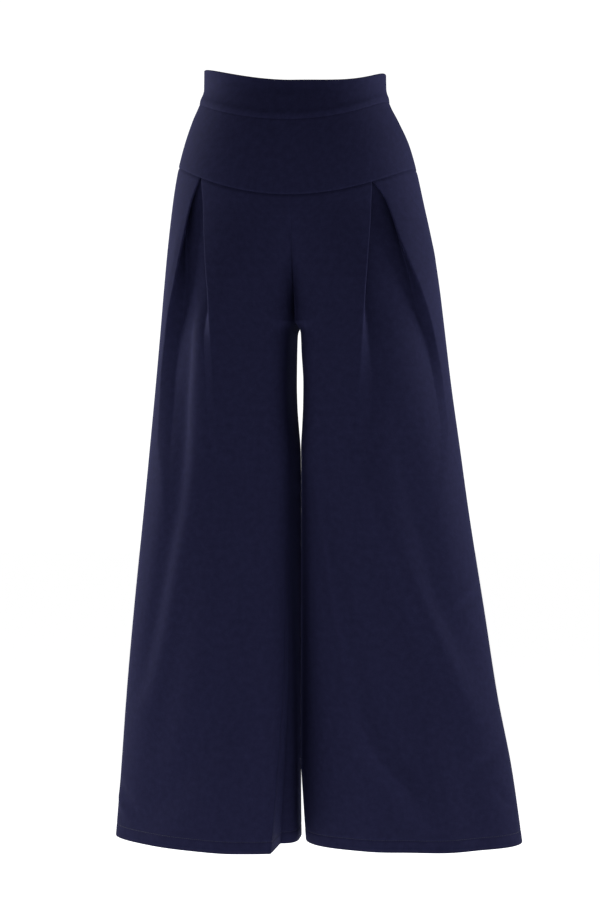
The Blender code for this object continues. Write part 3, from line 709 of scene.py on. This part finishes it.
def leg_levels(face):
    """Heights of the rows of a leg panel at its middle edge, from its seam down to the hem."""
    top = EDGES["yoke_seam"][EDGE_COLUMNS.index(face)] + SEAM_OVERLAP
    fall = top - CROTCH_HEIGHT
    turn = np.linspace(0.0, math.pi / 2, UPPER_ROWS + 1)
    upper = top - fall * np.sin(turn)
    upper = upper[upper < top - FINE_STEPS[-1]]
    lower = np.linspace(CROTCH_HEIGHT, HEM_TOP, LOWER_ROWS + 1)[1:]
    return np.concatenate([[top], top - np.array(FINE_STEPS), upper, lower, HEM_STEPS[::-1],
                           [0.0]])


def leg_rows(side, face):
    """Outer points of a leg panel, row by row from its seam to the hem."""
    seam = dict(zip(EDGE_COLUMNS, EDGES["yoke_seam"]))
    levels = leg_levels(face)
    rows, ends = [], []
    for level in levels:
        if face == "front":
            distance, height, length, hinge, depth, back = front_row(side, level)
            share = 1 - ease((levels[0] - level) / SEAM_BLEND)
            fraction = own_fractions(side, height, distance, length, hinge)
            at_seam = level * edge_height("yoke_seam", side, face, fraction) / seam[face]
            mixed = height + (at_seam - height) * share
            fraction = own_fractions(side, mixed, distance, length, hinge)
            at_seam = level * edge_height("yoke_seam", side, face, fraction) / seam[face]
            height = height + (at_seam - height) * share
        else:
            fraction = back_row(side, face, level)
            depth, back = np.zeros_like(fraction), np.zeros_like(fraction)
            height = level * edge_height("yoke_seam", side, face, fraction) / seam[face]
        points, normals, length = section(side, face, height, fraction)
        from_side = fraction * length
        from_middle = (1 - fraction) * length
        window = ease(FLARE_EASE * fraction) * ease(FLARE_EASE * (1 - fraction))
        x = points[:, 0]
        depth = depth + window * flare_depth(side, face, height, x)
        depth = depth + ease(CREASE_EASE * fraction) * crease_depth(side, face, height, x)
        puckers = pucker_depth(side, face, height, from_side)
        depth = depth + ease(PUCKER_EASE * fraction) * puckers
        depth = depth - SEAM_DIP * np.maximum(dip(from_side, SEAM_DIP_WIDTH),
                                              dip(from_middle, SEAM_DIP_WIDTH))
        depth = depth - UNDER_YOKE_DIP * dip(levels[0] - level, UNDER_YOKE_WIDTH)
        depth = depth - HEM_GROOVE * dip(level - HEM_TURN_UP, HEM_GROOVE_WIDTH)
        ends.append((normals[0], normals[-1]))
        points = points + normals * depth[:, None]
        points[:, 1] += back
        rows.append(np.column_stack([points, height - WAIST_HEIGHT]))
    thick = CLOTH * (1 + ease((HEM_TURN_UP - levels) / HEM_STEP + 1.0))
    curl = rounded(levels, CLOTH)
    return rows, ends, thick, curl


def rounded(distance, radius):
    """How far a rounded edge stands back at a distance from its lip."""
    near = np.clip(radius - distance, 0.0, radius)
    return radius - np.sqrt(radius * radius - near * near)


def ring_fractions():
    """Fractions of half a yoke or waistband, from the side to the middle."""
    even = np.linspace(0.0, 1.0, HALF_YOKE_COLUMNS + 1)
    fine = np.array(FINE_STEPS) / HALF_RING
    return np.concatenate([[0.0], fine, even[even > fine[-1] + LEAST_COLUMN]])


def ring_rows(low, high, face, count):
    """Outer points of a panel that runs from side to side, between two of the edges."""
    fraction = ring_fractions()
    band = high == "waist_top"
    even = np.linspace(0.0, 1.0, count + 1)
    front = EDGE_COLUMNS.index("front")
    span = EDGES[high][front] - EDGES[low][front]
    fine = np.array(FINE_STEPS) / span
    inside = (even > fine[-1] + LEAST_ROW) & (even < 1 - LEAST_ROW - fine[-1])
    steps = np.concatenate([[0.0], fine, even[inside], 1 - fine[::-1], [1.0]])
    rows, ends, curl = [], [], []
    for step in steps:
        halves = []
        for side in ("left", "right"):
            bottom = edge_height(low, side, face, fraction)
            upper = edge_height(high, side, face, fraction) + (0.0 if band else SEAM_OVERLAP)
            height = bottom + (upper - bottom) * step
            points, normals, length = section(side, face, height, fraction)
            from_side = fraction * length
            level = ease((fraction - MIDDLE_FLAT) / (1 - MIDDLE_FLAT))[:, None]
            normals = normals * (1 - level) + np.array(FORWARD[face]) * level
            normals /= np.hypot(normals[:, 0], normals[:, 1])[:, None]
            above, below = height - bottom, upper - height
            depth = -SEAM_DIP * dip(from_side, SEAM_DIP_WIDTH)
            if band:
                depth = depth - SEAM_DIP * dip(above, SEAM_DIP_WIDTH)
                depth = depth + BAND_RIDGE * dip(above - BAND_RIDGE_ABOVE, BAND_RIDGE_WIDTH)
            else:
                depth = depth - YOKE_LIP_DIP * dip(above, YOKE_LIP_WIDTH)
                depth = depth - SEAM_DIP * dip(below, SEAM_DIP_WIDTH)
            if side == "right" and face == "front" and not band:
                opened = np.where((height > GAPE[0][0]) & (height < GAPE[-1][0]),
                                  read(GAPE, GAPE_COLUMNS, "open", height), 0.0)
                depth = depth - GAPE_DEPTH * opened * ease(1 - from_side / GAPE_RUN)
            points = points + normals * depth[:, None]
            halves.append((np.column_stack([points, height - WAIST_HEIGHT]), normals))
        middle = halves[0][0][-1:] * (0, 1, 1)
        rows.append(np.concatenate([halves[0][0][:-1], middle, halves[1][0][-2::-1]]))
        ends.append((halves[0][1][0], halves[1][1][0]))
        curl.append(float(rounded(np.array((1 - step) * span), BAND_CLOTH / 2)) if band else 0.0)
    thick = np.full(len(rows), BAND_CLOTH if band else CLOTH)
    return rows, ends, thick, np.array(curl)


def row_normals(row, end_normals, turn):
    """Level outward normals at the points of one row, lengthened at its corners."""
    run = np.diff(row[:, :2], axis=0)
    run /= np.hypot(run[:, 0], run[:, 1])[:, None] + TINY
    normal = np.stack([turn * run[:, 1], -turn * run[:, 0]], axis=1)
    joint = normal[:-1] + normal[1:]
    joint /= np.maximum((joint * joint).sum(axis=1)[:, None] / 2, MITRE_LEAST)
    return np.concatenate([end_normals[0][None], joint, end_normals[1][None]])


def shell(name, node, surface, turn, material):
    """A closed thin shell of cloth between its outer rows and the same rows inside."""
    rows, ends, thick, curl = surface
    outer, inner = [], []
    for row, end, depth, back in zip(rows, ends, thick, curl):
        normal = row_normals(row, end, turn)
        near, far = row.copy(), row.copy()
        near[:, :2] -= normal * back
        far[:, :2] -= normal * (depth - min(back, depth / 2 - LIP_LEAST))
        outer.append(near)
        inner.append(far)
    outer, inner = np.array(outer), np.array(inner)
    count, width = outer.shape[:2]
    verts = np.concatenate([outer.reshape(-1, 3), inner.reshape(-1, 3)])
    half = count * width
    grid = np.arange(half).reshape(count, width)
    quads = np.stack([grid[:-1, :-1], grid[:-1, 1:], grid[1:, 1:], grid[1:, :-1]], axis=-1)
    quads = quads.reshape(-1, 4)
    rim = np.concatenate([grid[0, :-1], grid[:-1, -1], grid[-1, :0:-1], grid[:0:-1, 0]])
    after = np.roll(rim, -1)
    band = np.stack([after, rim, rim + half, after + half], axis=-1)
    faces = np.concatenate([quads, quads[:, ::-1] + half, band])
    if turn < 0:
        faces = faces[:, ::-1]
    mesh = bpy.data.meshes.new(name)
    mesh.from_pydata(verts.tolist(), [], faces.tolist())
    mesh.update()
    step = np.hypot(*np.diff(outer[..., :2], axis=1).transpose(2, 0, 1))
    over = np.concatenate([np.zeros((count, 1)), np.cumsum(step, axis=1)], axis=1)
    flat = np.stack([over, outer[..., 2]], axis=-1).reshape(-1, 2)
    flat = np.concatenate([flat, flat + INSIDE_SHIFT])
    layer = mesh.uv_layers.new(name="cloth")
    corners = np.zeros(len(mesh.loops), dtype=np.int32)
    mesh.loops.foreach_get("vertex_index", corners)
    layer.data.foreach_set("uv", flat[corners].ravel())
    mesh.shade_smooth()
    mesh.set_sharp_from_angle(angle=SHARP_ANGLE)
    mesh.materials.append(material)
    item = bpy.data.objects.new(name, mesh)
    bpy.context.scene.collection.objects.link(item)
    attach(item, "root")
    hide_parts(node)
    return item, outer


def stitches(name, line, normals, material):
    """Thread stitches along a line of points on the cloth."""
    step = np.linalg.norm(np.diff(line, axis=0), axis=1)
    reach = np.concatenate([[0.0], np.cumsum(step)])
    shape = bmesh.new()
    starts = np.arange(STITCH_PITCH, reach[-1] - STITCH_PITCH, STITCH_PITCH)
    for start in starts:
        rings = []
        for part, size in STITCH_PROFILE:
            at = start + STITCH_LENGTH * part
            centre = np.array([np.interp(at, reach, line[:, k]) for k in range(3)])
            normal = np.array([np.interp(at, reach, normals[:, k]) for k in range(3)])
            lift = STITCH_RISE * 4 * part * (1 - part) - STITCH_RADIUS * STITCH_SUNK
            centre = centre + normal * lift
            ring = []
            for turn in np.linspace(0.0, 2 * math.pi, STITCH_SIDES + 1)[:-1]:
                offset = normal * math.cos(turn) + np.array([0, 0, 1.0]) * math.sin(turn)
                ring.append(shape.verts.new(centre + offset * STITCH_RADIUS * size))
            rings.append(ring)
        for first, second in zip(rings, rings[1:]):
            for k in range(STITCH_SIDES):
                after = (k + 1) % STITCH_SIDES
                shape.faces.new((first[k], first[after], second[after], second[k]))
        shape.faces.new(rings[0][::-1])
        shape.faces.new(rings[-1])
    bmesh.ops.recalc_face_normals(shape, faces=shape.faces)
    mesh = bpy.data.meshes.new(name)
    shape.to_mesh(mesh)
    shape.free()
    mesh.shade_smooth()
    mesh.materials.append(material)
    item = bpy.data.objects.new(name, mesh)
    bpy.context.scene.collection.objects.link(item)
    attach(item, "root")
    return item


# Colours of the cloth and its thread, linear
NAVY = (0.0125, 0.0130, 0.0380, 1.0)
NAVY_LIGHT = (0.0160, 0.0166, 0.0474, 1.0)
NAVY_DARK = (0.0095, 0.0099, 0.0295, 1.0)
THREAD = (0.0115, 0.0120, 0.0350, 1.0)
SHEEN_TINT = (0.34, 0.36, 1.0, 1.0)


def crepe(name):
    """Matt navy crepe: a fine twill weave, a soft grain and a faint change of shade."""
    material = bpy.data.materials.new(name)
    material.use_nodes = True
    tree = material.node_tree
    nodes, links = tree.nodes, tree.links
    shader = nodes["Principled BSDF"]
    shader.inputs["Roughness"].default_value = 0.82
    shader.inputs["Specular IOR Level"].default_value = 0.02
    shader.inputs["Sheen Weight"].default_value = 0.10
    shader.inputs["Sheen Roughness"].default_value = 0.18
    shader.inputs["Sheen Tint"].default_value = SHEEN_TINT

    place = nodes.new("ShaderNodeUVMap")
    place.uv_map = "cloth"

    threads = nodes.new("ShaderNodeMapping")
    threads.inputs["Rotation"].default_value = (0.0, 0.0, math.radians(28))
    links.new(place.outputs["UV"], threads.inputs["Vector"])
    twill = nodes.new("ShaderNodeTexWave")
    twill.wave_type = "BANDS"
    twill.bands_direction = "X"
    twill.inputs["Scale"].default_value = 420.0
    twill.inputs["Distortion"].default_value = 1.2
    twill.inputs["Detail"].default_value = 1.0
    twill.inputs["Detail Scale"].default_value = 2.0
    links.new(threads.outputs["Vector"], twill.inputs["Vector"])

    grain = nodes.new("ShaderNodeTexNoise")
    grain.inputs["Scale"].default_value = 620.0
    grain.inputs["Detail"].default_value = 2.0
    grain.inputs["Roughness"].default_value = 0.6
    links.new(place.outputs["UV"], grain.inputs["Vector"])

    mottle = nodes.new("ShaderNodeTexNoise")
    mottle.inputs["Scale"].default_value = 120.0
    mottle.inputs["Detail"].default_value = 4.0
    mottle.inputs["Roughness"].default_value = 0.62
    links.new(place.outputs["UV"], mottle.inputs["Vector"])

    blend = nodes.new("ShaderNodeMath")
    blend.operation = "MULTIPLY_ADD"
    blend.inputs[1].default_value = 0.40
    links.new(grain.outputs["Fac"], blend.inputs[0])
    share = nodes.new("ShaderNodeMath")
    share.operation = "MULTIPLY"
    share.inputs[1].default_value = 0.60
    links.new(mottle.outputs["Fac"], share.inputs[0])
    links.new(share.outputs["Value"], blend.inputs[2])
    shades = nodes.new("ShaderNodeValToRGB")
    shades.color_ramp.elements[0].position = 0.30
    shades.color_ramp.elements[0].color = NAVY_DARK
    shades.color_ramp.elements[1].position = 0.70
    shades.color_ramp.elements[1].color = NAVY_LIGHT
    middle = shades.color_ramp.elements.new(0.50)
    middle.color = NAVY
    links.new(blend.outputs["Value"], shades.inputs["Fac"])
    links.new(shades.outputs["Color"], shader.inputs["Base Color"])

    rough = nodes.new("ShaderNodeMapRange")
    rough.inputs["To Min"].default_value = 0.74
    rough.inputs["To Max"].default_value = 0.88
    links.new(mottle.outputs["Fac"], rough.inputs["Value"])
    links.new(rough.outputs["Result"], shader.inputs["Roughness"])

    fine = nodes.new("ShaderNodeBump")
    fine.inputs["Strength"].default_value = 0.25
    fine.inputs["Distance"].default_value = 0.00012
    links.new(twill.outputs["Fac"], fine.inputs["Height"])
    soft = nodes.new("ShaderNodeBump")
    soft.inputs["Strength"].default_value = 0.35
    soft.inputs["Distance"].default_value = 0.00015
    links.new(grain.outputs["Fac"], soft.inputs["Height"])
    links.new(fine.outputs["Normal"], soft.inputs["Normal"])
    links.new(soft.outputs["Normal"], shader.inputs["Normal"])
    return material


def twisted_thread(name):
    """Navy sewing thread with its twist."""
    material = bpy.data.materials.new(name)
    material.use_nodes = True
    nodes, links = material.node_tree.nodes, material.node_tree.links
    shader = nodes["Principled BSDF"]
    shader.inputs["Roughness"].default_value = 0.6
    place = nodes.new("ShaderNodeTexCoord")
    twist = nodes.new("ShaderNodeTexWave")
    twist.bands_direction = "DIAGONAL"
    twist.inputs["Scale"].default_value = 900.0
    links.new(place.outputs["Object"], twist.inputs["Vector"])
    shades = nodes.new("ShaderNodeValToRGB")
    shades.color_ramp.elements[0].color = NAVY_DARK
    shades.color_ramp.elements[1].color = THREAD
    links.new(twist.outputs["Fac"], shades.inputs["Fac"])
    links.new(shades.outputs["Color"], shader.inputs["Base Color"])
    rise = nodes.new("ShaderNodeBump")
    rise.inputs["Strength"].default_value = 0.4
    rise.inputs["Distance"].default_value = 0.0001
    links.new(twist.outputs["Fac"], rise.inputs["Height"])
    links.new(rise.outputs["Normal"], shader.inputs["Normal"])
    return material


cloth = crepe("navy_crepe")
thread = twisted_thread("navy_thread")
for face in ("front", "back"):
    band_turn = turn_of("left", face)
    band, _ = shell("band_" + face, "waistband_" + face,
                    ring_rows("band_seam", "waist_top", face, BAND_ROWS), band_turn, cloth)
    yoke, _ = shell("hip_yoke_" + face, "yoke_" + face,
                    ring_rows("yoke_seam", "band_seam", face, YOKE_ROWS), band_turn, cloth)
    for side in ("left", "right"):
        node = f"leg_{face}_{side}"
        leg, outer = shell(f"trouser_leg_{face}_{side}", node, leg_rows(side, face),
                           turn_of(side, face), cloth)
        levels = leg_levels(face)
        index = int(np.argmin(np.abs(levels - HEM_TURN_UP)))
        line = outer[index]
        flat_normals = row_normals(line, (np.zeros(2), np.zeros(2)), turn_of(side, face))
        flat_normals[0], flat_normals[-1] = flat_normals[1], flat_normals[-2]
        flat_normals = np.column_stack([flat_normals, np.zeros(len(line))])
        sewing = stitches(f"hem_stitches_{face}_{side}", line, flat_normals, thread)

# A plain pale floor
FLOOR_HEIGHT = -1.25
FLOOR_RADIUS = 14.0

shape = bmesh.new()
bmesh.ops.create_circle(shape, cap_ends=True, segments=96, radius=FLOOR_RADIUS)
mesh = bpy.data.meshes.new("floor")
shape.to_mesh(mesh)
shape.free()
floor = bpy.data.objects.new("floor", mesh)
floor.location = (0, 0, FLOOR_HEIGHT)
bpy.context.scene.collection.objects.link(floor)
paint = bpy.data.materials.new("pale_floor")
paint.use_nodes = True
surface = paint.node_tree.nodes["Principled BSDF"]
surface.inputs["Base Color"].default_value = (0.93, 0.93, 0.93, 1)
surface.inputs["Roughness"].default_value = 0.9
surface.inputs["Emission Color"].default_value = (1, 1, 1, 1)
surface.inputs["Emission Strength"].default_value = 0.86
mesh.materials.append(paint)

# Softboxes: name, place, size of the face and power. The room is dim round them, and the paper
# behind the garment is brighter than white.
LIGHT_AIM = (0.0, 0.0, -0.25)
SOFTBOXES = (
    ("left_softbox", (-1.3, 0.36, 0.10), (0.7, 1.1), 31.0),
    ("right_softbox", (1.3, 0.36, 0.10), (0.7, 1.1), 25.0),
    ("low_softbox", (0.0, -0.8, -1.22), (1.6, 0.4), 2.6),
)
PAPER_LIGHT = 1.1
ROOM_LIGHT = 0.15


def softbox(name, place, aim, size, power):
    """A soft lamp with a rectangular face, pointed at a place."""
    lamp = bpy.data.lights.new(name, "AREA")
    lamp.shape = "RECTANGLE"
    lamp.size, lamp.size_y = size
    lamp.energy = power
    item = bpy.data.objects.new(name, lamp)
    item.location = place
    toward = np.array(aim) - np.array(place)
    item.rotation_euler = (math.acos(-toward[2] / np.linalg.norm(toward)),
                           0.0, math.atan2(toward[1], toward[0]) - math.pi / 2)
    bpy.context.scene.collection.objects.link(item)


for name, place, size, power in SOFTBOXES:
    softbox(name, place, LIGHT_AIM, size, power)

world = bpy.context.scene.world or bpy.data.worlds.new("studio")
bpy.context.scene.world = world
world.use_nodes = True
sky = world.node_tree
background = sky.nodes["Background"]
background.inputs["Color"].default_value = (1.0, 1.0, 1.0, 1.0)
seen = sky.nodes.new("ShaderNodeLightPath")
level = sky.nodes.new("ShaderNodeMapRange")
level.inputs["To Min"].default_value = ROOM_LIGHT
level.inputs["To Max"].default_value = PAPER_LIGHT
sky.links.new(seen.outputs["Is Camera Ray"], level.inputs["Value"])
sky.links.new(level.outputs["Result"], background.inputs["Strength"])

# The camera, with half the picture's height and the focal length in pixels
CAMERA_AZIMUTH = math.radians(6.0)
CAMERA_DISTANCE = 3.0
CAMERA_HEIGHT = -0.469
HALF_IMAGE = 450
FOCAL_PIXELS = 2192

lens = bpy.data.cameras.new("camera")
lens.sensor_fit = "VERTICAL"
lens.angle_y = 2 * math.atan(HALF_IMAGE / FOCAL_PIXELS)
camera = bpy.data.objects.new("camera", lens)
camera.location = (CAMERA_DISTANCE * math.sin(CAMERA_AZIMUTH),
                   -CAMERA_DISTANCE * math.cos(CAMERA_AZIMUTH), CAMERA_HEIGHT)
camera.rotation_euler = (math.pi / 2, 0.0, CAMERA_AZIMUTH)
bpy.context.scene.collection.objects.link(camera)
bpy.context.scene.camera = camera
bpy.context.scene.view_settings.view_transform = "Standard"
